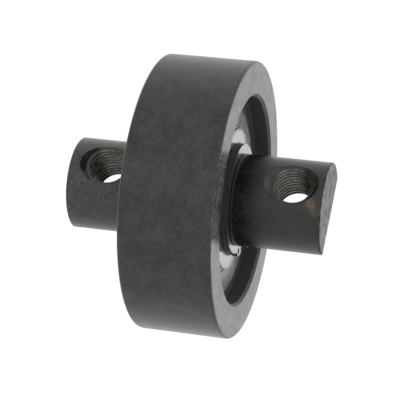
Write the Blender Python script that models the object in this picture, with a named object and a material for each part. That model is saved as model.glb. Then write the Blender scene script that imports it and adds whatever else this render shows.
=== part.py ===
"""Double-ended cam follower: a webbed roller on a caged needle bearing, carried by a
round axle whose two ends each have a milled flat and a tapped cross hole.

Frame: the axle lies along Y, the tapped holes run along Z, the flats face -Z, and the
origin is the centre of the roller.  All lengths are in metres, all angles in radians.
"""
import math

import bmesh
import bpy
from mathutils import Matrix, Vector

# --- driving dimensions ---------------------------------------------------------------

ROLLER_RADIUS = 0.0525
ROLLER_HALF_WIDTH = 0.01725
RIM_ROUNDING = 0.0012
RECESS_RADIUS = 0.0393
RECESS_MOUTH_CHAMFER = 0.0014
RECESS_FILLET = 0.0006
WEB_HALF_WIDTH = 0.0104

AXLE_RADIUS = 0.0175
AXLE_HALF_LENGTH = 0.04875
AXLE_END_CHAMFER = 0.0005
FLAT_DISTANCE = 0.0055
FLAT_START = 0.0197

HOLE_OFFSETS = {"right": 0.0365, "left": -0.0346}
THREAD_MINOR_RADIUS = 0.0069
HOLE_LEDGE_HEIGHT = 0.0154
HOLE_LEDGE_RADIUS = 0.0081
HOLE_FLAT_MOUTH_RADIUS = 0.0095
HOLE_CUT_OVERSHOOT = 0.003

NEEDLE_COUNT = 20
NEEDLE_RADIUS = 0.0019
NEEDLE_HALF_LENGTH = 0.0079
NEEDLE_CHAMFER = 0.0003
INNER_RACEWAY_RADIUS = 0.021
OUTER_RACEWAY_RADIUS = 0.025
BEARING_OUTER_RADIUS = 0.0275
INNER_RING_HALF_WIDTH = 0.0104
OUTER_RING_HALF_WIDTH = 0.0102
BEARING_CHAMFER = 0.0004

CAGE_INNER_RADIUS = 0.0217
CAGE_OUTER_RADIUS = 0.0243
CAGE_HALF_WIDTH = 0.01
POCKET_SIDE_CLEARANCE = 0.00015
POCKET_END_CLEARANCE = 0.0002

WASHER_THICKNESS = 0.0014
WASHER_OUTER_RADIUS = 0.0268

CLIP_THICKNESS = 0.0025
CLIP_BEAM_RADIUS = 0.0208
CLIP_BEAM_TAPER = 0.00045
CLIP_LUG_RADIUS = 0.0232
CLIP_GAP_HALF_ANGLE = math.radians(9.5)
CLIP_LUG_END = math.radians(23.0)
CLIP_SHOULDER = math.radians(8.0)
CLIP_HOLE_ANGLE = math.radians(17.5)
CLIP_HOLE_DISTANCE = 0.0203
CLIP_HOLE_RADIUS = 0.0013
CLIP_GAP_DIRECTION = math.radians(-64.0)
GROOVE_RADIUS = 0.0165

FIT_GAP = 0.0001
FACE_GAP = 0.0003
GROOVE_SIDE_GAP = 0.0002

ROUND_SEGMENTS = 64
HOLE_SEGMENTS = 32
NEEDLE_SEGMENTS = 12
CLIP_HOLE_SEGMENTS = 10
CLIP_ARC_STEPS = 40
ARC_STEPS = 2
MERGE_DISTANCE = 1e-7

# --- worked-out dimensions --------------------------------------------------------------

PITCH_RADIUS = (INNER_RACEWAY_RADIUS + OUTER_RACEWAY_RADIUS) / 2
WASHER_INBOARD = WEB_HALF_WIDTH + FACE_GAP
CLIP_INBOARD = WASHER_INBOARD + WASHER_THICKNESS + FACE_GAP
CLIP_OUTBOARD = CLIP_INBOARD + CLIP_THICKNESS


# --- scene and mesh helpers -------------------------------------------------------------

def clear_scene():
    for obj in list(bpy.data.objects):
        bpy.data.objects.remove(obj, do_unlink=True)


def make_material(name, colour, roughness, metallic=1.0):
    material = bpy.data.materials.new(name)
    material.use_nodes = True
    shader = material.node_tree.nodes["Principled BSDF"]
    shader.inputs["Base Color"].default_value = (*colour, 1.0)
    shader.inputs["Roughness"].default_value = roughness
    shader.inputs["Metallic"].default_value = metallic
    return material


def mesh_from(name, bm):
    """Close off a bmesh: outward normals, smooth shading with sharp edges kept."""
    bmesh.ops.recalc_face_normals(bm, faces=bm.faces)
    mesh = bpy.data.meshes.new(name)
    bm.to_mesh(mesh)
    bm.free()
    mesh.shade_smooth()
    mesh.set_sharp_from_angle(angle=math.radians(30))
    return mesh


def add_object(name, mesh, material, location=(0.0, 0.0, 0.0)):
    if material is not None and not mesh.materials:
        mesh.materials.append(material)
    obj = bpy.data.objects.new(name, mesh)
    obj.location = location
    bpy.context.scene.collection.objects.link(obj)
    return obj


def turned_mesh(name, profile, segments, ring):
    """Spin a profile of (radius, axial) points about Y.

    A ring profile is a closed outline; the others start and end on the axis."""
    bm = bmesh.new()
    verts = [bm.verts.new((radius, axial, 0.0)) for radius, axial in profile]
    edges = [bm.edges.new(pair) for pair in zip(verts, verts[1:])]
    if ring:
        edges.append(bm.edges.new((verts[-1], verts[0])))
    bmesh.ops.spin(bm, geom=verts + edges, cent=(0, 0, 0), axis=(0, 1, 0),
                   angle=2 * math.pi, steps=segments, use_merge=True)
    bmesh.ops.remove_doubles(bm, verts=bm.verts, dist=MERGE_DISTANCE)
    return mesh_from(name, bm)


def arc(centre, radius, start, end, steps=ARC_STEPS):
    """Points of a profile arc about centre, from the start angle to the end angle."""
    angles = [start + (end - start) * step / steps for step in range(steps + 1)]
    return [(centre[0] + radius * math.cos(a), centre[1] + radius * math.sin(a)) for a in angles]


def mirrored(half_profile):
    """A profile from its outboard (positive) half: the mirror image joined behind it."""
    return half_profile + [(radius, -axial) for radius, axial in reversed(half_profile)]


def chamfered_ring(inner, outer, low, high, chamfer):
    """Outline of a plain ring with its four corners broken."""
    return [(inner + chamfer, low), (outer - chamfer, low), (outer, low + chamfer),
            (outer, high - chamfer), (outer - chamfer, high), (inner + chamfer, high),
            (inner, high - chamfer), (inner, low + chamfer)]


def cut(target, cutter):
    """Subtract the cutter, which stays in the file as a hidden wire guide."""
    cutter.hide_render = True
    cutter.display_type = 'WIRE'
    modifier = target.modifiers.new(cutter.name, 'BOOLEAN')
    modifier.operation = 'DIFFERENCE'
    modifier.solver = 'EXACT'
    modifier.object = cutter


# --- the roller body --------------------------------------------------------------------

def make_roller(material):
    """Tread, side faces, a recess in each side and the web around the bearing."""
    face_radius = ROLLER_RADIUS - RIM_ROUNDING
    rim_centre = (face_radius, ROLLER_HALF_WIDTH - RIM_ROUNDING)
    fillet_centre = (RECESS_RADIUS - RECESS_FILLET, WEB_HALF_WIDTH + RECESS_FILLET)
    bore = BEARING_OUTER_RADIUS + FIT_GAP
    half = [(bore, WEB_HALF_WIDTH - BEARING_CHAMFER), (bore + BEARING_CHAMFER, WEB_HALF_WIDTH)]
    half += arc(fillet_centre, RECESS_FILLET, -math.pi / 2, 0.0)
    half.append((RECESS_RADIUS, ROLLER_HALF_WIDTH - RECESS_MOUTH_CHAMFER))
    half.append((RECESS_RADIUS + RECESS_MOUTH_CHAMFER, ROLLER_HALF_WIDTH))
    half += arc(rim_centre, RIM_ROUNDING, math.pi / 2, 0.0)
    mesh = turned_mesh("roller", mirrored(half), ROUND_SEGMENTS, ring=True)
    return add_object("roller", mesh, material)


# --- the needle bearing -----------------------------------------------------------------

def make_race(name, inner, outer, half_width, material):
    outline = chamfered_ring(inner, outer, -half_width, half_width, BEARING_CHAMFER)
    return add_object(name, turned_mesh(name, outline, ROUND_SEGMENTS, ring=True), material)


def make_cage(material):
    """A tube of cells around the axle: every second cell is a pocket for a needle.

    Cell edges lie at the pocket walls, so the tube is built wall by wall."""
    pocket_half_width = NEEDLE_RADIUS + POCKET_SIDE_CLEARANCE
    pocket_half_length = NEEDLE_HALF_LENGTH + POCKET_END_CLEARANCE
    half_angle = math.asin(pocket_half_width / PITCH_RADIUS)
    step = 2 * math.pi / NEEDLE_COUNT
    angles = []
    for index in range(NEEDLE_COUNT):
        angles += [index * step - half_angle, index * step + half_angle]
    rows = [-CAGE_HALF_WIDTH, -pocket_half_length, pocket_half_length, CAGE_HALF_WIDTH]

    bm = bmesh.new()
    grid = {}
    for a, angle in enumerate(angles):
        for r, axial in enumerate(rows):
            for side, radius in enumerate((CAGE_INNER_RADIUS, CAGE_OUTER_RADIUS)):
                place = (radius * math.cos(angle), axial, radius * math.sin(angle))
                grid[a, r, side] = bm.verts.new(place)

    count = len(angles)

    def is_solid(a, r):
        pocket = a % 2 == 0 and r == 1
        return 0 <= r < len(rows) - 1 and not pocket

    for a in range(count):
        ahead = (a + 1) % count
        for r in range(len(rows) - 1):
            if not is_solid(a, r):
                continue
            for side in (0, 1):
                bm.faces.new((grid[a, r, side], grid[ahead, r, side],
                              grid[ahead, r + 1, side], grid[a, r + 1, side]))
            for row, neighbour in ((r, r - 1), (r + 1, r + 1)):
                if not is_solid(a, neighbour):
                    bm.faces.new((grid[a, row, 0], grid[ahead, row, 0],
                                  grid[ahead, row, 1], grid[a, row, 1]))
            for column, neighbour in ((a, (a - 1) % count), (ahead, ahead)):
                if not is_solid(neighbour, r):
                    bm.faces.new((grid[column, r, 0], grid[column, r + 1, 0],
                                  grid[column, r + 1, 1], grid[column, r, 1]))
    return add_object("needle_cage", mesh_from("needle_cage", bm), material)


def make_needles(material):
    """Identical rollers evenly spaced on the pitch circle, each with its own origin."""
    tip = NEEDLE_RADIUS - NEEDLE_CHAMFER
    profile = [(0.0, NEEDLE_HALF_LENGTH), (tip, NEEDLE_HALF_LENGTH),
               (NEEDLE_RADIUS, NEEDLE_HALF_LENGTH - NEEDLE_CHAMFER)]
    mesh = turned_mesh("needle", mirrored(profile), NEEDLE_SEGMENTS, ring=False)
    for index in range(NEEDLE_COUNT):
        angle = index * 2 * math.pi / NEEDLE_COUNT
        place = (PITCH_RADIUS * math.cos(angle), 0.0, PITCH_RADIUS * math.sin(angle))
        add_object(f"needle_{index + 1:02d}", mesh, material, place)


# --- what holds the bearing on the axle ---------------------------------------------------

def make_washer(name, side, material):
    """A hardened thrust washer that covers the needles on one side of the web."""
    low, high = sorted((side * WASHER_INBOARD, side * (WASHER_INBOARD + WASHER_THICKNESS)))
    inner = AXLE_RADIUS + FIT_GAP
    outline = [(inner, low), (WASHER_OUTER_RADIUS, low), (WASHER_OUTER_RADIUS, high), (inner, high)]
    return add_object(name, turned_mesh(name, outline, ROUND_SEGMENTS, ring=True), material)


def clip_outer_radius(angle):
    """Outer edge of the retaining ring at an angle from the middle of its gap."""
    beam = CLIP_BEAM_RADIUS - CLIP_BEAM_TAPER * math.cos(angle)
    from_gap = min(angle, 2 * math.pi - angle)
    share = min(max((from_gap - CLIP_LUG_END) / CLIP_SHOULDER + 0.5, 0.0), 1.0)
    share = share * share * (3 - 2 * share)
    return CLIP_LUG_RADIUS * (1 - share) + beam * share


def make_clip(name, side, material):
    """An external retaining ring: an open beam with two drilled lugs at its gap."""
    start = CLIP_GAP_HALF_ANGLE
    lug_angles = [start + (CLIP_LUG_END + CLIP_SHOULDER - start) * step / 8 for step in range(9)]
    beam_start = lug_angles[-1]
    beam_span = 2 * (math.pi - beam_start)
    beam_angles = [beam_start + beam_span * step / CLIP_ARC_STEPS
                   for step in range(1, CLIP_ARC_STEPS)]
    angles = lug_angles + beam_angles + [2 * math.pi - angle for angle in reversed(lug_angles)]
    low, high = sorted((side * CLIP_INBOARD, side * CLIP_OUTBOARD))
    inner = GROOVE_RADIUS + FIT_GAP

    bm = bmesh.new()
    columns = []
    for angle in angles:
        turn = CLIP_GAP_DIRECTION + angle
        way = Vector((math.cos(turn), 0.0, math.sin(turn)))
        outer = clip_outer_radius(angle)
        columns.append([bm.verts.new(way * radius + Vector((0.0, axial, 0.0)))
                        for radius, axial in ((inner, low), (outer, low), (outer, high), (inner, high))])
    for here, ahead in zip(columns, columns[1:]):
        for corner in range(4):
            after = (corner + 1) % 4
            bm.faces.new((here[corner], here[after], ahead[after], ahead[corner]))
    bm.faces.new(columns[0])
    bm.faces.new(columns[-1])
    clip = add_object(name, mesh_from(name, bm), material)

    for lug, sign in (("a", 1), ("b", -1)):
        turn = CLIP_GAP_DIRECTION + sign * CLIP_HOLE_ANGLE
        place = (CLIP_HOLE_DISTANCE * math.cos(turn), (low + high) / 2,
                 CLIP_HOLE_DISTANCE * math.sin(turn))
        profile = mirrored([(0.0, CLIP_THICKNESS), (CLIP_HOLE_RADIUS, CLIP_THICKNESS)])
        drill = turned_mesh(f"{name}_drill_{lug}", profile, CLIP_HOLE_SEGMENTS, ring=False)
        cut(clip, add_object(f"{name}_drill_{lug}", drill, None, place))
    return clip


# --- the axle -----------------------------------------------------------------------------

def axle_profile():
    """Bar with broken end corners and a groove for each retaining ring."""
    groove_in = CLIP_INBOARD - GROOVE_SIDE_GAP
    groove_out = CLIP_OUTBOARD + GROOVE_SIDE_GAP
    half = [(0.0, AXLE_HALF_LENGTH), (AXLE_RADIUS - AXLE_END_CHAMFER, AXLE_HALF_LENGTH),
            (AXLE_RADIUS, AXLE_HALF_LENGTH - AXLE_END_CHAMFER),
            (AXLE_RADIUS, groove_out), (GROOVE_RADIUS, groove_out),
            (GROOVE_RADIUS, groove_in), (AXLE_RADIUS, groove_in)]
    return mirrored(half)


def flat_cutter(name, side):
    """A block below the axle that mills the flat of one end."""
    overshoot = 2 * AXLE_RADIUS
    low, high = sorted((side * FLAT_START, side * (AXLE_HALF_LENGTH + overshoot)))
    bm = bmesh.new()
    bmesh.ops.create_cube(bm, size=1.0)
    size = Vector((2 * overshoot, high - low, overshoot))
    centre = Vector((0.0, (low + high) / 2, -FLAT_DISTANCE - overshoot / 2))
    bmesh.ops.scale(bm, vec=size, verts=bm.verts)
    bmesh.ops.translate(bm, vec=centre, verts=bm.verts)
    return add_object(name, mesh_from(name, bm), None)


def hole_cutter(name, offset):
    """The tapping drill, a cone above a narrow ledge at the round side and one at the flat."""
    top = AXLE_RADIUS + HOLE_CUT_OVERSHOOT
    bottom = -FLAT_DISTANCE - HOLE_CUT_OVERSHOOT
    flat_cone = HOLE_FLAT_MOUTH_RADIUS - THREAD_MINOR_RADIUS
    profile = [(0.0, top), (HOLE_LEDGE_RADIUS + top - HOLE_LEDGE_HEIGHT, top),
               (HOLE_LEDGE_RADIUS, HOLE_LEDGE_HEIGHT), (THREAD_MINOR_RADIUS, HOLE_LEDGE_HEIGHT),
               (THREAD_MINOR_RADIUS, -FLAT_DISTANCE + flat_cone),
               (HOLE_FLAT_MOUTH_RADIUS + HOLE_CUT_OVERSHOOT, bottom), (0.0, bottom)]
    mesh = turned_mesh(name, profile, HOLE_SEGMENTS, ring=False)
    mesh.transform(Matrix.Rotation(math.pi / 2, 4, 'X'))
    return add_object(name, mesh, None, (0.0, offset, 0.0))


def make_axle(material):
    mesh = turned_mesh("axle", axle_profile(), ROUND_SEGMENTS, ring=False)
    axle = add_object("axle", mesh, material)
    for hand, side in (("right", 1), ("left", -1)):
        cut(axle, flat_cutter(f"flat_cutter_{hand}", side))
        cut(axle, hole_cutter(f"hole_cutter_{hand}", HOLE_OFFSETS[hand]))
    return axle


# --- the assembly -------------------------------------------------------------------------

def main():
    clear_scene()
    blackened = make_material("blackened_steel", (0.045, 0.047, 0.045), 0.42, 0.8)
    hardened = make_material("hardened_steel", (0.62, 0.61, 0.58), 0.18)
    sprung = make_material("spring_steel", (0.7, 0.7, 0.69), 0.22)
    pressed = make_material("pressed_steel", (0.48, 0.46, 0.42), 0.35)

    make_axle(blackened)
    make_roller(blackened)
    make_race("bearing_inner_ring", AXLE_RADIUS + FIT_GAP, INNER_RACEWAY_RADIUS,
              INNER_RING_HALF_WIDTH, hardened)
    make_race("bearing_outer_ring", OUTER_RACEWAY_RADIUS, BEARING_OUTER_RADIUS,
              OUTER_RING_HALF_WIDTH, hardened)
    make_cage(pressed)
    make_needles(hardened)
    for hand, side in (("right", 1), ("left", -1)):
        make_washer(f"thrust_washer_{hand}", side, hardened)
        make_clip(f"retaining_ring_{hand}", side, sprung)


main()
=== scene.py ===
"""The looks of a double-ended cam follower: a blackened roller on a needle bearing, and
an axle with a flat and a tapped cross hole at each end.  Lengths are metres; the axle
lies along Y, the tapped holes along Z, and the flats face -Z."""
import math

import bmesh
import bpy
from mathutils import Matrix, Vector


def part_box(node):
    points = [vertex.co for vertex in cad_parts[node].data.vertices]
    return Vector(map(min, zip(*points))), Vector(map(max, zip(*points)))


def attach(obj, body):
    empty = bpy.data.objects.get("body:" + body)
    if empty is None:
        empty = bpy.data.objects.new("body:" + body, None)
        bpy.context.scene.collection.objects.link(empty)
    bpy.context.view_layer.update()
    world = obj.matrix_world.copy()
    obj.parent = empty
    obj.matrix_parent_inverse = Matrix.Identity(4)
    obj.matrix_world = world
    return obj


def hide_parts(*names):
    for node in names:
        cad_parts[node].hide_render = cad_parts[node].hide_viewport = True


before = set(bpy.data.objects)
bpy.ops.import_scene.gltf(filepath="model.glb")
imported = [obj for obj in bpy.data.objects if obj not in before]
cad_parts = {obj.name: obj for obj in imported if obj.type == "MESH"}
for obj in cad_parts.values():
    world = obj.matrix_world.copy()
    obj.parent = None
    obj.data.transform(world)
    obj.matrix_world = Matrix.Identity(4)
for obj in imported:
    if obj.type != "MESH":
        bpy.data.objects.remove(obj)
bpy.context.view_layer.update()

MM = 0.001

# --- sizes read from the frame ----------------------------------------------------------

ROLLER_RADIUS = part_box("roller")[1].x
ROLLER_HALF_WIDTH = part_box("roller")[1].y
AXLE_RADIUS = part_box("axle")[1].x
AXLE_HALF_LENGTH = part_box("axle")[1].y
INNER_RACEWAY_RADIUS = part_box("bearing_inner_ring")[1].x
INNER_RING_HALF_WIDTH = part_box("bearing_inner_ring")[1].y
BEARING_OUTER_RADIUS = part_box("bearing_outer_ring")[1].x
OUTER_RING_HALF_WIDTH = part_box("bearing_outer_ring")[1].y
WASHER_OUTER_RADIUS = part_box("thrust_washer_right")[1].x
WASHER_SPAN = [corner.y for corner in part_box("thrust_washer_right")]
CLIP_SPAN = [corner.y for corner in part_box("retaining_ring_right")]
CAGE_HALF_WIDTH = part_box("needle_cage")[1].y
NEEDLE_HALF_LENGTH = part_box("needle_01")[1].y
NEEDLE_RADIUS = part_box("needle_01")[1].z
PITCH_RADIUS = sum(corner.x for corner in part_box("needle_01")) / 2
NEEDLES = sorted(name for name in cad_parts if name.startswith("needle_")
                 and name != "needle_cage")

# --- sizes of the finer shapes ------------------------------------------------------------

RIM_ROUNDING = 1.2 * MM
RECESS_RADIUS = 39.3 * MM
RECESS_MOUTH_CHAMFER = 1.0 * MM
RECESS_FILLET = 0.6 * MM
WEB_HALF_WIDTH = 10.4 * MM
WEB_BORE_RADIUS = 27.6 * MM
EDGE_BREAK = 0.25 * MM
WASHER_EDGE = 0.18 * MM
CAGE_EDGE = 0.12 * MM

AXLE_EDGE = 0.45 * MM
FLAT_DISTANCE = 5.5 * MM
FLAT_CORNER = 0.35 * MM
FLAT_START = 19.7 * MM
SHOULDER_BLEND = 1.0 * MM
# Where the flat begins: (share of the D shape, distance in shoulder blends).
SHOULDER_PROFILE = ((0.0, -0.2), (0.02, -0.08), (0.07, -0.02), (0.15, 0.0), (0.93, 0.0),
                    (0.97, 0.1), (0.99, 0.25), (1.0, 0.5))
FLAT_END_MARGIN = 1.5 * MM
GROOVE_RADIUS = 16.5 * MM
GROOVE_SIDE_GAP = 0.2 * MM

HOLE_OFFSETS = (36.5 * MM, -34.6 * MM)
THREAD_PITCH = 2.0 * MM
THREAD_MINOR_RADIUS = 6.9 * MM
THREAD_MAJOR_RADIUS = 8.0 * MM
LEDGE_HEIGHT = 15.4 * MM
LEDGE_RADIUS = 8.1 * MM
FLAT_MOUTH_RADIUS = 9.5 * MM
CUT_OVERSHOOT = 3.0 * MM
# One turn of thread: (share of the pitch, share of the thread's depth).
THREAD_FORM = ((0.02, 0.03), (0.23, 0.03), (0.27, 0.1), (0.53, 0.93), (0.57, 1.0), (0.68, 1.0),
               (0.72, 0.93), (0.98, 0.1))
HOLE_MIDDLE_HEIGHT = 4.0 * MM
COUNTERSINK_CUT_DEPTH = 5.0 * MM

OUTER_RACEWAY_RADIUS = 25.0 * MM
AXLE_FIT_GAP = 0.1 * MM
CAGE_INNER_RADIUS = 21.7 * MM
CAGE_OUTER_RADIUS = 24.3 * MM
POCKET_HALF_WIDTH = 2.05 * MM
POCKET_HALF_LENGTH = 8.1 * MM
NEEDLE_EDGE = 0.35 * MM
NEEDLE_DIMPLE_RADIUS = 0.4 * MM
NEEDLE_DIMPLE_DEPTH = 0.04 * MM

CLIP_BEAM_RADIUS = 20.8 * MM
CLIP_BEAM_TAPER = 0.45 * MM
CLIP_LUG_RADIUS = 22.5 * MM
CLIP_GAP_HALF_ANGLE = math.radians(9.5)
CLIP_LUG_END = math.radians(23.0)
CLIP_SHOULDER = math.radians(8.0)
CLIP_HOLE_ANGLE = math.radians(19.0)
CLIP_HOLE_DISTANCE = 20.4 * MM
CLIP_HOLE_RADIUS = 1.2 * MM
CLIP_GAP_DIRECTION = math.radians(-64.0)
CLIP_EDGE = 0.28 * MM

ROLLER_SEGMENTS = 320
BEARING_SEGMENTS = 192
AXLE_ARC_STEPS = 288
WASHER_SEGMENTS = 256
HOLE_SEGMENTS = 128
NEEDLE_SEGMENTS = 48
DRILL_SEGMENTS = 40

# --- finish, light and camera -------------------------------------------------------------

OXIDE_IOR = 1.47
SQUARE_TO_AXLE = (0.8, 0.97)

FLOOR_SIZE = 6.0
FLOOR_DROP = 0.35
SURROUND_STRENGTH = 1.08
SOFTBOX_PLACE = (0.6, 0.3, 1.8)
SOFTBOX_SIZE = 2.0
SOFTBOX_ENERGY = 3.0

CAMERA_AZIMUTH = math.radians(15.4)
CAMERA_ELEVATION = math.radians(23.36)
CAMERA_LEAN = math.radians(-37.7)
CAMERA_DISTANCE = 600.0 * MM
SENSOR_WIDTH = 36.0
LENS = 142.3
CAMERA_SHIFT = (-0.0064, -0.0110)


# --- mesh helpers -------------------------------------------------------------------------

def arc(centre, radius, start, end, steps=6):
    """Profile points on an arc about centre, angles in degrees."""
    angles = [math.radians(start + (end - start) * step / steps) for step in range(steps + 1)]
    return [(centre[0] + radius * math.cos(a), centre[1] + radius * math.sin(a)) for a in angles]


def mirrored(half_profile):
    """A profile from its outboard (positive) half: the mirror image joined behind it."""
    return half_profile + [(radius, -axial) for radius, axial in reversed(half_profile)]


def rounded_ring(inner, outer, low, high, edge):
    """Closed outline of a plain ring whose four corners are rounded."""
    return (arc((outer - edge, high - edge), edge, 90, 0)
            + arc((outer - edge, low + edge), edge, 0, -90)
            + arc((inner + edge, low + edge), edge, -90, -180)
            + arc((inner + edge, high - edge), edge, 180, 90))


def mesh_of(name, verts, faces, sharp=30):
    """A smooth-shaded mesh with outward faces, whose edges over `sharp` degrees stay sharp."""
    mesh = bpy.data.meshes.new(name)
    mesh.from_pydata(verts, [], faces)
    bm = bmesh.new()
    bm.from_mesh(mesh)
    bmesh.ops.remove_doubles(bm, verts=bm.verts, dist=1e-7)
    bmesh.ops.recalc_face_normals(bm, faces=bm.faces)
    bm.to_mesh(mesh)
    bm.free()
    mesh.shade_smooth()
    mesh.set_sharp_from_angle(angle=math.radians(sharp))
    return mesh


def turned(name, profile, segments, ring=True):
    """A profile of (radius, axial) points turned about Y; a ring profile is closed."""
    verts = []
    for step in range(segments):
        turn = 2 * math.pi * step / segments
        cos, sin = math.cos(turn), math.sin(turn)
        verts += [(radius * cos, axial, radius * sin) for radius, axial in profile]
    count = len(profile)
    spans = count if ring else count - 1
    faces = []
    for step in range(segments):
        here, ahead = step * count, (step + 1) % segments * count
        for point in range(spans):
            after = (point + 1) % count
            faces.append((here + point, here + after, ahead + after, ahead + point))
    if not ring:
        faces.append([step * count for step in range(segments)])
        faces.append([step * count + count - 1 for step in range(segments)])
    return mesh_of(name, verts, faces)


def lofted(name, sections, sharp=30):
    """A skin through equal-length closed sections, with a flat cap on each end."""
    count = len(sections[0])
    verts = [point for section in sections for point in section]
    faces = [list(range(count)), list(range(len(verts) - count, len(verts)))]
    for row in range(len(sections) - 1):
        here, ahead = row * count, (row + 1) * count
        for point in range(count):
            after = (point + 1) % count
            faces.append((here + point, here + after, ahead + after, ahead + point))
    return mesh_of(name, verts, faces, sharp)


def with_modifiers_applied(obj):
    """The object's evaluated mesh takes the place of its base mesh and modifiers."""
    depsgraph = bpy.context.evaluated_depsgraph_get()
    mesh = bpy.data.meshes.new_from_object(obj.evaluated_get(depsgraph))
    obj.modifiers.clear()
    obj.data = mesh
    return obj


def subtract(obj, cutter_meshes):
    """Cuts each mesh out of obj in turn."""
    for mesh in cutter_meshes:
        cutter = bpy.data.objects.new(mesh.name, mesh)
        bpy.context.scene.collection.objects.link(cutter)
        modifier = obj.modifiers.new("cut", 'BOOLEAN')
        modifier.operation = 'DIFFERENCE'
        modifier.solver = 'EXACT'
        modifier.object = cutter
        with_modifiers_applied(obj)
        bpy.data.objects.remove(cutter)
    return obj


def piece(name, mesh, body, material, replaced=None):
    """Puts a finished mesh in the scene, riding on its body in place of its CAD node."""
    obj = mesh if isinstance(mesh, bpy.types.Object) else bpy.data.objects.new(name, mesh)
    obj.name = name
    if obj.name not in bpy.context.scene.collection.objects:
        bpy.context.scene.collection.objects.link(obj)
    obj.data.materials.clear()
    obj.data.materials.append(material)
    normals = obj.modifiers.new("even_normals", 'WEIGHTED_NORMAL')
    normals.keep_sharp = True
    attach(obj, body)
    if replaced:
        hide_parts(replaced)
    return obj


# --- material helpers -----------------------------------------------------------------------

class Shader:
    """A material's node tree, with short ways to add a node and wire it up."""

    def __init__(self, name):
        self.material = bpy.data.materials.new(name)
        self.material.use_nodes = True
        self.tree = self.material.node_tree
        self.bsdf = self.tree.nodes["Principled BSDF"]
        self.coords = self.tree.nodes.new("ShaderNodeTexCoord").outputs["Object"]

    def wire(self, value, socket):
        if isinstance(value, bpy.types.NodeSocket):
            self.tree.links.new(value, socket)
        else:
            socket.default_value = value

    def math(self, operation, *values):
        node = self.tree.nodes.new("ShaderNodeMath")
        node.operation = operation
        for value, socket in zip(values, node.inputs):
            self.wire(value, socket)
        return node.outputs[0]

    def parts(self, vector):
        node = self.tree.nodes.new("ShaderNodeSeparateXYZ")
        self.wire(vector, node.inputs[0])
        return node.outputs[0], node.outputs[1], node.outputs[2]

    def noise(self, scale, place=None, detail=3.0, roughness=0.5, distortion=0.0):
        node = self.tree.nodes.new("ShaderNodeTexNoise")
        self.wire(self.coords if place is None else place, node.inputs["Vector"])
        node.inputs["Scale"].default_value = scale
        node.inputs["Detail"].default_value = detail
        node.inputs["Roughness"].default_value = roughness
        node.inputs["Distortion"].default_value = distortion
        return node.outputs[0]

    def noise_along(self, value, scale, detail=2.0):
        node = self.tree.nodes.new("ShaderNodeTexNoise")
        node.noise_dimensions = '1D'
        self.wire(value, node.inputs["W"])
        node.inputs["Scale"].default_value = scale
        node.inputs["Detail"].default_value = detail
        return node.outputs[0]

    def ramp(self, value, low, high, to_low=0.0, to_high=1.0):
        """Smoothly maps low..high to to_low..to_high, and holds the ends."""
        node = self.tree.nodes.new("ShaderNodeMapRange")
        node.interpolation_type = 'SMOOTHSTEP'
        for item, socket in zip((value, low, high, to_low, to_high), node.inputs):
            self.wire(item, socket)
        return node.outputs[0]

    def mix(self, share, first, second):
        node = self.tree.nodes.new("ShaderNodeMix")
        node.data_type = 'RGBA'
        self.wire(share, node.inputs[0])
        self.wire(first if isinstance(first, bpy.types.NodeSocket) else (*first, 1.0), node.inputs[6])
        self.wire(second if isinstance(second, bpy.types.NodeSocket) else (*second, 1.0),
                  node.inputs[7])
        return node.outputs[2]

    def bump(self, height, strength, distance):
        node = self.tree.nodes.new("ShaderNodeBump")
        node.inputs["Strength"].default_value = strength
        node.inputs["Distance"].default_value = distance
        self.wire(height, node.inputs["Height"])
        self.wire(node.outputs[0], self.bsdf.inputs["Normal"])

    def set(self, **inputs):
        for name, value in inputs.items():
            self.wire(value, self.bsdf.inputs[name.replace("_", " ")])
        return self.material

    def length(self, *parts):
        """The length of the vector with these parts."""
        total = self.math('MULTIPLY', parts[0], parts[0])
        for part in parts[1:]:
            total = self.math('MULTIPLY_ADD', part, part, total)
        return self.math('SQRT', total)

    def sideways(self):
        """1 on a face square to the axle, 0 on a face along it."""
        normal = self.tree.nodes.new("ShaderNodeTexCoord").outputs["Normal"]
        return self.math('ABSOLUTE', self.parts(normal)[1])

    def turning_lines(self, scale):
        """Fine lathe lines: rings on the side faces, hoops on the round faces."""
        x, y, z = self.parts(self.coords)
        rings = self.noise_along(self.length(x, z), scale)
        hoops = self.noise_along(y, scale)
        return self.math('MULTIPLY', self.math('ADD', rings, hoops), 0.5)


def oxide(shader, dark, light, roughness, line_depth):
    """Black oxide on turned steel: a mottled dark film over fine lathe lines."""
    lines = shader.turning_lines(2400.0)
    cloud = shader.noise(150.0, detail=6.0, roughness=0.65)
    speckle = shader.noise(900.0, detail=3.0, roughness=0.7)
    blend = shader.math('ADD', shader.math('MULTIPLY', cloud, 0.4),
                        shader.math('ADD', shader.math('MULTIPLY', speckle, 0.35),
                                    shader.math('MULTIPLY', lines, 0.25)))
    colour = shader.mix(shader.ramp(blend, 0.38, 0.64), dark, light)
    rough = shader.math('ADD', shader.ramp(blend, 0.36, 0.66, roughness - 0.07, roughness + 0.07),
                        shader.math('MULTIPLY', shader.math('SUBTRACT', lines, 0.5), 0.12))
    height = shader.math('ADD', shader.math('MULTIPLY', lines, 0.6),
                         shader.math('MULTIPLY', speckle, 0.8))
    shader.bump(height, line_depth, 0.00004)
    return colour, rough


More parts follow.
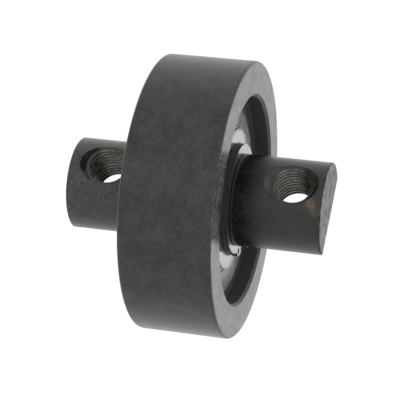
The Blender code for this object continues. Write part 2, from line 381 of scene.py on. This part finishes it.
def roller_finish():
    """The film turns chalky on the side faces and dusty on the web; painted shade darkens the web by the
    recess wall.
    """
    shader = Shader("roller_black_oxide")
    colour, rough = oxide(shader, (0.001, 0.0016, 0.0011), (0.028, 0.0295, 0.027), 0.3, 0.12)
    x, y, z = shader.parts(shader.coords)
    radius = shader.length(x, z)
    cloud = shader.noise(140.0, detail=5.0, roughness=0.65)
    grain = shader.noise(800.0, detail=3.0, roughness=0.7)
    mottle = shader.math('ADD', shader.math('MULTIPLY', cloud, 0.6),
                         shader.math('MULTIPLY', grain, 0.4))
    square = shader.ramp(shader.sideways(), *SQUARE_TO_AXLE)
    sunk = shader.ramp(shader.math('ABSOLUTE', y), WEB_HALF_WIDTH + 1.5 * MM,
                       WEB_HALF_WIDTH + 0.5 * MM)
    mouth = RECESS_RADIUS + RECESS_MOUTH_CHAMFER
    inside = shader.ramp(radius, mouth + 0.2 * MM, mouth - 0.2 * MM)
    wall = shader.math('MULTIPLY', inside, 0.75)
    colour = shader.mix(wall, colour, (0.031, 0.031, 0.029))
    chalk = shader.mix(shader.ramp(mottle, 0.43, 0.58), (0.024, 0.025, 0.024), (0.1, 0.102, 0.098))
    face = shader.math('MULTIPLY', square, shader.math('SUBTRACT', 1.0, inside))
    colour = shader.mix(face, colour, chalk)
    dust = shader.mix(shader.ramp(mottle, 0.4, 0.62), (0.1, 0.1, 0.096), (0.22, 0.22, 0.21))
    ragged = shader.math('MULTIPLY_ADD', cloud, 2.0 * MM, radius)
    slant = shader.math('SUBTRACT', x, z)
    # Painted shade: the dust fades out towards the recess wall, over a wider band on one side, so the web
    # darkens into the corner there.
    wall_shade_reach = shader.math('MULTIPLY_ADD', shader.ramp(slant, 0.0, -36.0 * MM), 2.8 * MM, ragged)
    web_clear_of_wall_shade = shader.ramp(wall_shade_reach, RECESS_RADIUS - 0.4 * MM, RECESS_RADIUS - 3.0 * MM)
    level = shader.math('MAXIMUM', square, shader.ramp(radius, WEB_BORE_RADIUS + MM,
                                                       WEB_BORE_RADIUS + 0.6 * MM))
    # The web mask carries the dust and, where the dust fades, the painted corner shade.
    web = shader.math('MULTIPLY', shader.math('MULTIPLY', level, sunk), web_clear_of_wall_shade)
    colour = shader.mix(web, colour, dust)
    settled = shader.math('MULTIPLY', shader.ramp(ragged, 35.0 * MM, 29.0 * MM, 0.0, 0.85),
                          shader.ramp(slant, 0.0, 30.0 * MM))
    colour = shader.mix(shader.math('MULTIPLY', web, settled), colour, (0.34, 0.335, 0.315))
    corner = shader.math('MULTIPLY', shader.math('MULTIPLY', inside, sunk),
                         shader.ramp(radius, RECESS_RADIUS - 2.0 * MM, RECESS_RADIUS - MM))
    rough = shader.math('MULTIPLY_ADD', wall, 0.25, rough)
    rough = shader.math('MULTIPLY_ADD', face, -0.05, rough)
    rough = shader.math('MULTIPLY_ADD', corner, 0.2, rough)
    return shader.set(Base_Color=colour, Roughness=rough, IOR=OXIDE_IOR)


def axle_finish():
    """The same film: dusty on the left end, stained by the right hole, with an oil film inside both
    holes and painted highlights on the thread crests, and torn in streaks by the saw on the two end
    faces."""
    shader = Shader("axle_black_oxide")
    colour, rough = oxide(shader, (0.0008, 0.001, 0.0006), (0.0125, 0.0125, 0.0095), 0.27, 0.14)
    x, y, z = shader.parts(shader.coords)
    radius = shader.length(x, z)
    right, left = HOLE_OFFSETS
    along = shader.math('ABSOLUTE', shader.math('SUBTRACT', y, (right + left) / 2))
    from_hole = shader.length(x, shader.math('SUBTRACT', along, (right - left) / 2))
    blotch = shader.noise(170.0, detail=4.0, roughness=0.6, distortion=0.5)
    smear = shader.noise(330.0, detail=5.0, roughness=0.7)
    grain = shader.noise(1000.0, detail=2.0, roughness=0.6)
    tint = shader.noise(60.0, detail=3.0)
    colour = shader.mix(shader.ramp(tint, 0.52, 0.68, 0.0, 0.5), colour, (0.009, 0.0095, 0.017))
    colour = shader.mix(shader.ramp(tint, 0.46, 0.32, 0.0, 0.5), colour, (0.019, 0.0145, 0.006))

    dusty = shader.math('MULTIPLY', shader.ramp(y, -18.0 * MM, -34.0 * MM),
                        shader.ramp(smear, 0.36, 0.64, 0.25, 1.0))
    colour = shader.mix(dusty, colour, (0.034, 0.037, 0.0325))
    speck = shader.math('MULTIPLY', shader.ramp(grain, 0.64, 0.7), shader.ramp(y, 0.0, -20.0 * MM))
    colour = shader.mix(speck, colour, (0.11, 0.11, 0.095))

    across = shader.math('SUBTRACT', x, 7.4 * MM)
    outward = shader.math('SUBTRACT', y, right + 9.0 * MM)
    trail = shader.math('MULTIPLY', shader.math('ADD', across, outward), 0.4)
    spot = shader.length(trail, shader.math('SUBTRACT', across, outward))
    ragged = shader.math('MULTIPLY_ADD', smear, 11.0 * MM, spot)
    straw = shader.math('MULTIPLY', shader.ramp(ragged, 8.8 * MM, 5.4 * MM), 0.6)
    colour = shader.mix(straw, colour, shader.mix(shader.ramp(blotch, 0.4, 0.6), (0.16, 0.075, 0.045),
                                                  (0.17, 0.125, 0.05)))

    near_hole = shader.math('MULTIPLY', shader.ramp(from_hole, 10.6 * MM, 10.2 * MM),
                            shader.ramp(radius, AXLE_RADIUS - 0.05 * MM, AXLE_RADIUS - 0.25 * MM))
    inside = shader.math('MULTIPLY', shader.math('MULTIPLY', near_hole,
                                                 shader.ramp(z, LEDGE_HEIGHT, LEDGE_HEIGHT - 0.2 * MM)),
                         shader.ramp(from_hole, 8.3 * MM, 8.05 * MM))
    countersink = shader.math('SUBTRACT', near_hole, inside)
    colour = shader.mix(countersink, colour, shader.mix(shader.ramp(smear, 0.4, 0.65),
                                                        (0.012, 0.0115, 0.0105),
                                                        (0.03, 0.028, 0.024)))
    bare = shader.math('MULTIPLY', inside, shader.ramp(blotch, 0.38, 0.62, 0.3, 0.85))
    colour = shader.mix(bare, colour, (0.05, 0.042, 0.03))
    # Painted highlight: the thread crests, the surfaces nearest the hole's axis, are coloured light grey.
    crest = shader.math('MULTIPLY', inside, shader.ramp(from_hole, THREAD_MINOR_RADIUS + 0.2 * MM,
                                                        THREAD_MINOR_RADIUS + 0.06 * MM))
    colour = shader.mix(crest, colour, shader.mix(shader.ramp(smear, 0.4, 0.6), (0.07, 0.06, 0.045),
                                                  (0.26, 0.25, 0.225)))

    sawn = shader.math('MULTIPLY', shader.ramp(shader.sideways(), *SQUARE_TO_AXLE),
                       shader.ramp(shader.math('ABSOLUTE', y), AXLE_HALF_LENGTH - MM,
                                   AXLE_HALF_LENGTH - 0.3 * MM))
    kerf = shader.math('ADD', shader.math('MULTIPLY', x, 0.3), z)
    streak = shader.math('ADD', shader.math('MULTIPLY', shader.noise_along(kerf, 1300.0, 3.0), 0.55),
                         shader.math('MULTIPLY', smear, 0.45))
    torn = shader.math('MULTIPLY', sawn, shader.ramp(streak, 0.42, 0.6))
    colour = shader.mix(torn, colour, (0.03, 0.03, 0.028))
    burr = shader.math('MULTIPLY', shader.ramp(shader.math('ABSOLUTE', y), AXLE_HALF_LENGTH - 0.9 * MM,
                                               AXLE_HALF_LENGTH - 0.4 * MM),
                       shader.math('MULTIPLY', shader.ramp(radius, AXLE_RADIUS - 0.65 * MM,
                                                           AXLE_RADIUS - 0.3 * MM),
                                   shader.ramp(shader.math('ADD', smear, blotch), 0.94, 1.12,
                                               0.0, 0.75)))
    colour = shader.mix(burr, colour, (0.001, 0.001, 0.001))
    rough = shader.math('MULTIPLY_ADD', torn, 0.3, rough)
    rough = shader.math('MULTIPLY_ADD', burr, 0.6, rough)
    metal = shader.math('MULTIPLY', bare, 0.5)
    return shader.set(Base_Color=colour, Roughness=rough, Metallic=metal, IOR=OXIDE_IOR)


def bright_steel(name, colour, roughness, line_scale, depth):
    """Ground bearing steel: bright, with fine lay lines and faint cloudy smears."""
    shader = Shader(name)
    lines = shader.turning_lines(line_scale)
    cloud = shader.noise(220.0, detail=4.0, roughness=0.6)
    darker = tuple(channel * 0.86 for channel in colour)
    tint = shader.mix(shader.ramp(cloud, 0.3, 0.7), darker, colour)
    rough = shader.math('ADD', shader.ramp(cloud, 0.3, 0.75, roughness * 0.8, roughness * 1.3),
                        shader.math('MULTIPLY', lines, 0.04))
    shader.bump(shader.math('ADD', lines, shader.math('MULTIPLY', cloud, 0.4)), depth, 0.00002)
    return shader.set(Base_Color=tint, Metallic=1.0, Roughness=rough)


def washer_finish():
    """Ground and hardened, with grease and dust caught round the rim and a painted shade ring beside the
    retaining ring.
    """
    shader = Shader("washer_steel")
    lines = shader.turning_lines(2600.0)
    cloud = shader.noise(260.0, detail=4.0, roughness=0.6)
    specks = shader.noise(1100.0, detail=3.0, roughness=0.7)
    x, _, z = shader.parts(shader.coords)
    radius = shader.length(x, z)
    rim = shader.ramp(shader.math('ADD', radius, shader.math('MULTIPLY', cloud, 3.0 * MM)),
                      WASHER_OUTER_RADIUS - 0.3 * MM, WASHER_OUTER_RADIUS + 2.0 * MM)
    # Painted shade: a dark ring on the washer face under and just beside the retaining ring's edge.
    clip_shade = shader.ramp(shader.math('MULTIPLY_ADD', cloud, 0.8 * MM, radius),
                       CLIP_BEAM_RADIUS + 1.5 * MM, CLIP_BEAM_RADIUS + 0.8 * MM, 0.0, 0.8)
    rim_dirt_and_clip_shade = shader.math('MULTIPLY', rim, shader.ramp(specks, 0.42, 0.6, 0.2, 0.85))
    # The rim's grease and dust and the painted shade ring share one dark colour, roughness and loss of
    # metal.
    rim_dirt_and_clip_shade = shader.math('MAXIMUM', rim_dirt_and_clip_shade, clip_shade)
    tint = shader.mix(shader.ramp(cloud, 0.3, 0.7), (0.34, 0.337, 0.315), (0.43, 0.425, 0.405))
    colour = shader.mix(rim_dirt_and_clip_shade, tint, (0.06, 0.055, 0.045))
    rough = shader.math('ADD', shader.ramp(cloud, 0.3, 0.75, 0.1, 0.17),
                        shader.math('MULTIPLY', rim_dirt_and_clip_shade, 0.3))
    metal = shader.math('SUBTRACT', 1.0, shader.math('MULTIPLY', rim_dirt_and_clip_shade, 0.7))
    shader.bump(shader.math('ADD', lines, cloud), 0.06, 0.00002)
    return shader.set(Base_Color=colour, Metallic=metal, Roughness=rough)


def clip_finish():
    """Spring steel blanked from strip: the two faces are ground bright, the edges stay dark."""
    shader = Shader("clip_steel")
    ground = shader.ramp(shader.sideways(), 0.35, 0.55)
    cloud = shader.noise(300.0, detail=4.0, roughness=0.6)
    grain = shader.noise(1500.0, detail=3.0, roughness=0.7)
    edge = shader.mix(shader.ramp(grain, 0.35, 0.65), (0.008, 0.008, 0.0075), (0.03, 0.029, 0.027))
    face = shader.mix(shader.ramp(cloud, 0.3, 0.7), (0.28, 0.28, 0.275), (0.37, 0.37, 0.365))
    colour = shader.mix(ground, edge, face)
    rough = shader.mix(ground, (0.4, 0.4, 0.4), (0.16, 0.16, 0.16))
    rough = shader.math('ADD', shader.parts(rough)[0],
                        shader.math('MULTIPLY', shader.math('SUBTRACT', grain, 0.5), 0.12))
    shader.bump(shader.math('ADD', grain, cloud), 0.05, 0.00002)
    return shader.set(Base_Color=colour, Metallic=ground, Roughness=rough)


# --- the roller -------------------------------------------------------------------------------

def roller_mesh():
    """The wheel: a web with a bore, and a rim with a recess and rounded corners on each side."""
    rim = (ROLLER_RADIUS - RIM_ROUNDING, ROLLER_HALF_WIDTH - RIM_ROUNDING)
    fillet = (RECESS_RADIUS - RECESS_FILLET, WEB_HALF_WIDTH + RECESS_FILLET)
    mouth = (RECESS_RADIUS + RECESS_MOUTH_CHAMFER, ROLLER_HALF_WIDTH)
    half = [(WEB_BORE_RADIUS, WEB_HALF_WIDTH - EDGE_BREAK)]
    half += arc((WEB_BORE_RADIUS + EDGE_BREAK, WEB_HALF_WIDTH - EDGE_BREAK), EDGE_BREAK, 180, 90)
    half += arc(fillet, RECESS_FILLET, -90, 0, 8)
    half.append((RECESS_RADIUS, ROLLER_HALF_WIDTH - RECESS_MOUTH_CHAMFER))
    half.append(mouth)
    half += arc(rim, RIM_ROUNDING, 90, 0, 10)
    return turned("roller_body", mirrored(half), ROLLER_SEGMENTS)


# --- the axle -----------------------------------------------------------------------------------

def d_section(radius, flat, corner):
    """(x, z) points of a circle cut by a flat at z = -flat with rounded corners."""
    lean = math.acos((flat - corner) / (radius - corner))
    points = []
    for step in range(AXLE_ARC_STEPS + 1):
        turn = lean + (2 * math.pi - 2 * lean) * step / AXLE_ARC_STEPS
        points.append((radius * math.sin(turn), -radius * math.cos(turn)))
    reach = (radius - corner) * math.sin(lean)
    corner_steps = 4
    for step in range(1, corner_steps + 1):
        turn = -lean * (1 - step / corner_steps)
        points.append((-reach + corner * math.sin(turn), corner - flat - corner * math.cos(turn)))
    flat_steps = 24
    for step in range(1, flat_steps):
        points.append((-reach + 2 * reach * step / flat_steps, -flat))
    for step in range(corner_steps):
        turn = lean * step / corner_steps
        points.append((reach + corner * math.sin(turn), corner - flat - corner * math.cos(turn)))
    return points


def axle_mesh():
    """The bar as sections along Y: groove, full round, shoulder, D shape, broken end edge."""
    d_shape = d_section(AXLE_RADIUS, FLAT_DISTANCE, FLAT_CORNER)

    def section(axial, radius=AXLE_RADIUS, share=0.0):
        """Between the full circle (share 0) and the D shape (share 1)."""
        points = []
        for x, z in d_shape:
            reach = radius / math.hypot(x, z)
            points.append((x * (reach + (1 - reach) * share), axial, z * (reach + (1 - reach) * share)))
        return points

    def inset_section(axial, inset):
        points = d_section(AXLE_RADIUS - inset, FLAT_DISTANCE - inset, FLAT_CORNER)
        return [(x, axial, z) for x, z in points]

    low, high = CLIP_SPAN[0] - GROOVE_SIDE_GAP, CLIP_SPAN[1] + GROOVE_SIDE_GAP
    half = [section(0.0), section(low), section(low, GROOVE_RADIUS), section(high, GROOVE_RADIUS),
            section(high)]
    for share, axial in SHOULDER_PROFILE:
        half.append(section(FLAT_START + axial * SHOULDER_BLEND, AXLE_RADIUS, share))
    rows = 16
    first, last = FLAT_START + FLAT_END_MARGIN, AXLE_HALF_LENGTH - FLAT_END_MARGIN
    half += [section(first + (last - first) * row / rows, AXLE_RADIUS, 1.0)
             for row in range(rows + 1)]
    edge_steps = 5
    for step in range(edge_steps + 1):
        turn = math.radians(90 * step / edge_steps)
        half.append(inset_section(AXLE_HALF_LENGTH - AXLE_EDGE * (1 - math.sin(turn)),
                                  AXLE_EDGE * (1 - math.cos(turn))))
    back = [[(x, -y, z) for x, y, z in part] for part in reversed(half[1:])]
    return lofted("axle_bar", back + half)


def thread_cutter(offset):
    """A tap of the full thread form: rows follow the helix, so every crest is clean."""
    low = -FLAT_DISTANCE - CUT_OVERSHOOT
    turns = math.ceil((AXLE_RADIUS + CUT_OVERSHOOT - low) / THREAD_PITCH)
    steps = 96
    rows = [(turn + phase, depth) for turn in range(turns) for phase, depth in THREAD_FORM]
    centre = Vector((0.0, offset, 0.0))
    verts = []
    for height, depth in rows:
        radius = THREAD_MINOR_RADIUS + (THREAD_MAJOR_RADIUS - THREAD_MINOR_RADIUS) * depth
        for step in range(steps):
            turn = 2 * math.pi * step / steps
            rise = low + (height + step / steps) * THREAD_PITCH
            verts.append(centre + Vector((radius * math.cos(turn), radius * math.sin(turn), rise)))
    faces = []
    count = len(THREAD_FORM)
    for row in range(len(rows) - 1):
        for step in range(steps - 1):
            here = row * steps + step
            faces.append((here, here + 1, here + 1 + steps, here + steps))
        if row + 1 + count < len(rows):
            seam = row * steps + steps - 1
            start = (row + count) * steps
            faces.append((seam, start, start + steps, seam + steps))
    mesh = bpy.data.meshes.new("tap")
    mesh.from_pydata(verts, [], faces)
    bm = bmesh.new()
    bm.from_mesh(mesh)
    for centre_height in (low - THREAD_PITCH, low + (turns + 2) * THREAD_PITCH):
        hub = bm.verts.new(centre + Vector((0.0, 0.0, centre_height)))
        lower = centre_height < 0
        rim = [edge for edge in bm.edges if edge.is_boundary
               and ((edge.verts[0].co + edge.verts[1].co).z / 2 < HOLE_MIDDLE_HEIGHT) == lower]
        for edge in rim:
            bm.faces.new((edge.verts[0], edge.verts[1], hub))
    bmesh.ops.recalc_face_normals(bm, faces=bm.faces)
    bm.to_mesh(mesh)
    bm.free()
    mesh.shade_smooth()
    mesh.set_sharp_from_angle(angle=math.radians(35))
    return mesh


def cone_cutter(name, offset, small_radius, height, way):
    """A 90 degree countersink that widens, up or down by way, from its small end at height."""
    profile = [(small_radius, 0.0), (small_radius + COUNTERSINK_CUT_DEPTH, COUNTERSINK_CUT_DEPTH)]
    mesh = turned(name, profile, HOLE_SEGMENTS, ring=False)
    mesh.transform(Matrix.Rotation(way * math.pi / 2, 4, 'X'))
    mesh.transform(Matrix.Translation((0.0, offset, height)))
    return mesh


def make_axle(material):
    """The bar with both cross holes tapped, and countersunk at each mouth."""
    axle = bpy.data.objects.new("axle_bar", axle_mesh())
    bpy.context.scene.collection.objects.link(axle)
    flat_cone_radius = THREAD_MINOR_RADIUS - MM
    flat_cone_height = FLAT_MOUTH_RADIUS - flat_cone_radius - FLAT_DISTANCE
    for offset in HOLE_OFFSETS:
        subtract(axle, [thread_cutter(offset),
                        cone_cutter("top_cone", offset, LEDGE_RADIUS, LEDGE_HEIGHT, 1),
                        cone_cutter("flat_cone", offset, flat_cone_radius, flat_cone_height, -1)])
    axle.data.shade_smooth()
    axle.data.set_sharp_from_angle(angle=math.radians(30))
    return piece("axle_bar", axle, "axle", material, "axle")


# --- the bearing --------------------------------------------------------------------------------

def cage_mesh():
    """Cells round the axle, every second one an open pocket, each split for roundness."""
    half_angle = math.asin(POCKET_HALF_WIDTH / PITCH_RADIUS)
    step = 2 * math.pi / len(NEEDLES)
    splits = 4
    angles, pocket = [], []
    for index in range(len(NEEDLES)):
        start, wall, end = (index * step - half_angle, index * step + half_angle,
                            (index + 1) * step - half_angle)
        angles += [start + (wall - start) * part / splits for part in range(splits)]
        angles += [wall + (end - wall) * part / splits for part in range(splits)]
        pocket += [True] * splits + [False] * splits
    rows = [-CAGE_HALF_WIDTH, -POCKET_HALF_LENGTH, POCKET_HALF_LENGTH, CAGE_HALF_WIDTH]
    count = len(angles)
    verts = [(radius * math.cos(angle), axial, radius * math.sin(angle))
             for angle in angles for axial in rows
             for radius in (CAGE_INNER_RADIUS, CAGE_OUTER_RADIUS)]

    def corner(column, row, side):
        return (column % count * len(rows) + row) * 2 + side

    def is_solid(column, row):
        return 0 <= row < len(rows) - 1 and not (row == 1 and pocket[column % count])

    faces = []
    for a in range(count):
        for r in range(len(rows) - 1):
            if not is_solid(a, r):
                continue
            faces += [(corner(a, r, side), corner(a + 1, r, side), corner(a + 1, r + 1, side),
                       corner(a, r + 1, side)) for side in (0, 1)]
            faces += [(corner(a, row, 0), corner(a + 1, row, 0), corner(a + 1, row, 1),
                       corner(a, row, 1))
                      for row, neighbour in ((r, r - 1), (r + 1, r + 1))
                      if not is_solid(a, neighbour)]
            faces += [(corner(column, r, 0), corner(column, r + 1, 0), corner(column, r + 1, 1),
                       corner(column, r, 1))
                      for column, neighbour in ((a, a - 1), (a + 1, a + 1))
                      if not is_solid(neighbour, r)]
    return mesh_of("cage_tube", verts, faces)


def needle_mesh():
    """A straight needle with rounded ends and a faint dimple in each, along its own axis."""
    half = [(NEEDLE_DIMPLE_RADIUS, NEEDLE_HALF_LENGTH - NEEDLE_DIMPLE_DEPTH)]
    half += arc((NEEDLE_RADIUS - NEEDLE_EDGE, NEEDLE_HALF_LENGTH - NEEDLE_EDGE), NEEDLE_EDGE, 90, 0)
    return turned("needle_roller", mirrored(half), NEEDLE_SEGMENTS, ring=False)


def make_bearing(race, cage, needle):
    """Both rings, the cage between them, and a needle in each pocket."""
    inner = rounded_ring(AXLE_RADIUS + AXLE_FIT_GAP, INNER_RACEWAY_RADIUS,
                         -INNER_RING_HALF_WIDTH, INNER_RING_HALF_WIDTH, EDGE_BREAK)
    outer = rounded_ring(OUTER_RACEWAY_RADIUS, BEARING_OUTER_RADIUS,
                         -OUTER_RING_HALF_WIDTH, OUTER_RING_HALF_WIDTH, EDGE_BREAK)
    piece("inner_race", turned("inner_race", inner, BEARING_SEGMENTS), "axle",
          race, "bearing_inner_ring")
    piece("outer_race", turned("outer_race", outer, BEARING_SEGMENTS), "roller",
          race, "bearing_outer_ring")
    tube = piece("cage_tube", cage_mesh(), "cage", cage, "needle_cage")
    bevel = tube.modifiers.new("edges", 'BEVEL')
    bevel.width = CAGE_EDGE
    bevel.segments = 2
    bevel.limit_method = 'ANGLE'
    for name in NEEDLES:
        low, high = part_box(name)
        mesh = needle_mesh()
        mesh.transform(Matrix.Translation((low + high) / 2))
        piece(name.replace("needle", "roller_pin"), mesh, f"{name}_body",
              needle, name)


# --- washers and retaining rings -------------------------------------------------------------------

def make_washer(hand, side, material):
    """The bright annulus that closes the bearing on one side."""
    low, high = sorted(side * axial for axial in WASHER_SPAN)
    outline = rounded_ring(AXLE_RADIUS + AXLE_FIT_GAP, WASHER_OUTER_RADIUS, low, high, WASHER_EDGE)
    piece(f"side_washer_{hand}", turned(f"side_washer_{hand}", outline, WASHER_SEGMENTS), "axle",
          material, f"thrust_washer_{hand}")


def clip_outer_radius(angle):
    """Outer edge of the retaining ring at an angle from the middle of its gap."""
    beam = CLIP_BEAM_RADIUS - CLIP_BEAM_TAPER * math.cos(angle)
    from_gap = min(angle, 2 * math.pi - angle)
    share = min(max((from_gap - CLIP_LUG_END) / CLIP_SHOULDER + 0.5, 0.0), 1.0)
    share = share * share * (3 - 2 * share)
    return CLIP_LUG_RADIUS * (1 - share) + beam * share


def make_clip(hand, side, material):
    """An open spring ring in the axle's groove, with a drilled lug either side of its gap."""
    steps = 240
    inner = GROOVE_RADIUS + AXLE_FIT_GAP
    low, high = sorted(side * axial for axial in CLIP_SPAN)
    sections = []
    for step in range(steps + 1):
        angle = CLIP_GAP_HALF_ANGLE + (2 * math.pi - 2 * CLIP_GAP_HALF_ANGLE) * step / steps
        turn = CLIP_GAP_DIRECTION + angle
        outer = clip_outer_radius(angle)
        sections.append([(radius * math.cos(turn), axial, radius * math.sin(turn))
                         for radius, axial in ((inner, low), (outer, low), (outer, high), (inner, high))])
    clip = bpy.data.objects.new(f"snap_ring_{hand}", lofted(f"snap_ring_{hand}", sections))
    bpy.context.scene.collection.objects.link(clip)
    drills = []
    for sign in (1, -1):
        turn = CLIP_GAP_DIRECTION + sign * CLIP_HOLE_ANGLE
        drill = turned("drill", [(CLIP_HOLE_RADIUS, low - MM), (CLIP_HOLE_RADIUS, high + MM)],
                       DRILL_SEGMENTS, ring=False)
        drill.transform(Matrix.Translation((CLIP_HOLE_DISTANCE * math.cos(turn), 0.0,
                                            CLIP_HOLE_DISTANCE * math.sin(turn))))
        drills.append(drill)
    subtract(clip, drills)
    bevel = clip.modifiers.new("edges", 'BEVEL')
    bevel.width = CLIP_EDGE
    bevel.segments = 3
    bevel.limit_method = 'ANGLE'
    bevel.angle_limit = math.radians(40)
    with_modifiers_applied(clip)
    clip.data.shade_smooth()
    clip.data.set_sharp_from_angle(angle=math.radians(40))
    piece(f"snap_ring_{hand}", clip, "axle", material, f"retaining_ring_{hand}")


# --- stage, light and camera ------------------------------------------------------------------------

def make_floor():
    """A pale floor, far enough below the part that no shadow shows."""
    low = -ROLLER_RADIUS - FLOOR_DROP
    mesh = bpy.data.meshes.new("floor")
    corners = [(x * FLOOR_SIZE, y * FLOOR_SIZE, low) for x, y in ((-1, -1), (1, -1), (1, 1), (-1, 1))]
    mesh.from_pydata(corners, [], [(0, 1, 2, 3)])
    floor = bpy.data.objects.new("floor", mesh)
    bpy.context.scene.collection.objects.link(floor)
    shader = Shader("floor_paper")
    mesh.materials.append(shader.set(Base_Color=(0.93, 0.93, 0.93, 1.0), Roughness=0.9))


def make_light():
    """An even white surround and one weak overhead softbox."""
    world = bpy.data.worlds.new("studio")
    bpy.context.scene.world = world
    world.use_nodes = True
    background = world.node_tree.nodes["Background"]
    background.inputs["Color"].default_value = (1.0, 1.0, 1.0, 1.0)
    background.inputs["Strength"].default_value = SURROUND_STRENGTH
    light = bpy.data.lights.new("softbox", 'AREA')
    light.size = SOFTBOX_SIZE
    light.energy = SOFTBOX_ENERGY
    lamp = bpy.data.objects.new("softbox", light)
    lamp.location = SOFTBOX_PLACE
    lamp.rotation_euler = (-lamp.location).to_track_quat('-Z', 'Y').to_euler()
    bpy.context.scene.collection.objects.link(lamp)


def make_camera():
    """A long lens beside the right-hand axle end, above the axle, with the holes leaning to it."""
    level = math.cos(CAMERA_ELEVATION)
    back = Vector((math.cos(CAMERA_AZIMUTH) * level, math.sin(CAMERA_AZIMUTH) * level,
                   math.sin(CAMERA_ELEVATION)))
    right = Vector((0.0, 0.0, 1.0)).cross(back).normalized()
    upright = Matrix((right, back.cross(right), back)).transposed().to_4x4()
    upright.translation = back * CAMERA_DISTANCE
    data = bpy.data.cameras.new("camera")
    data.sensor_width = SENSOR_WIDTH
    data.lens = LENS
    data.shift_x, data.shift_y = CAMERA_SHIFT
    camera = bpy.data.objects.new("camera", data)
    camera.matrix_world = Matrix.Rotation(CAMERA_LEAN, 4, 'Y') @ upright
    bpy.context.scene.collection.objects.link(camera)
    bpy.context.scene.camera = camera
    bpy.context.scene.view_settings.view_transform = 'Standard'


# --- the assembly ------------------------------------------------------------------------------------

make_axle(axle_finish())
piece("roller_body", roller_mesh(), "roller", roller_finish(), "roller")
make_bearing(bright_steel("race_steel", (0.62, 0.61, 0.58), 0.2, 3000.0, 0.1),
             bright_steel("cage_steel", (0.48, 0.46, 0.42), 0.35, 900.0, 0.2),
             bright_steel("needle_steel", (0.66, 0.66, 0.65), 0.12, 5000.0, 0.05))
washer_steel = washer_finish()
clip_steel = clip_finish()
for hand, side in (("right", 1), ("left", -1)):
    make_washer(hand, side, washer_steel)
    make_clip(hand, side, clip_steel)
make_floor()
make_light()
make_camera()
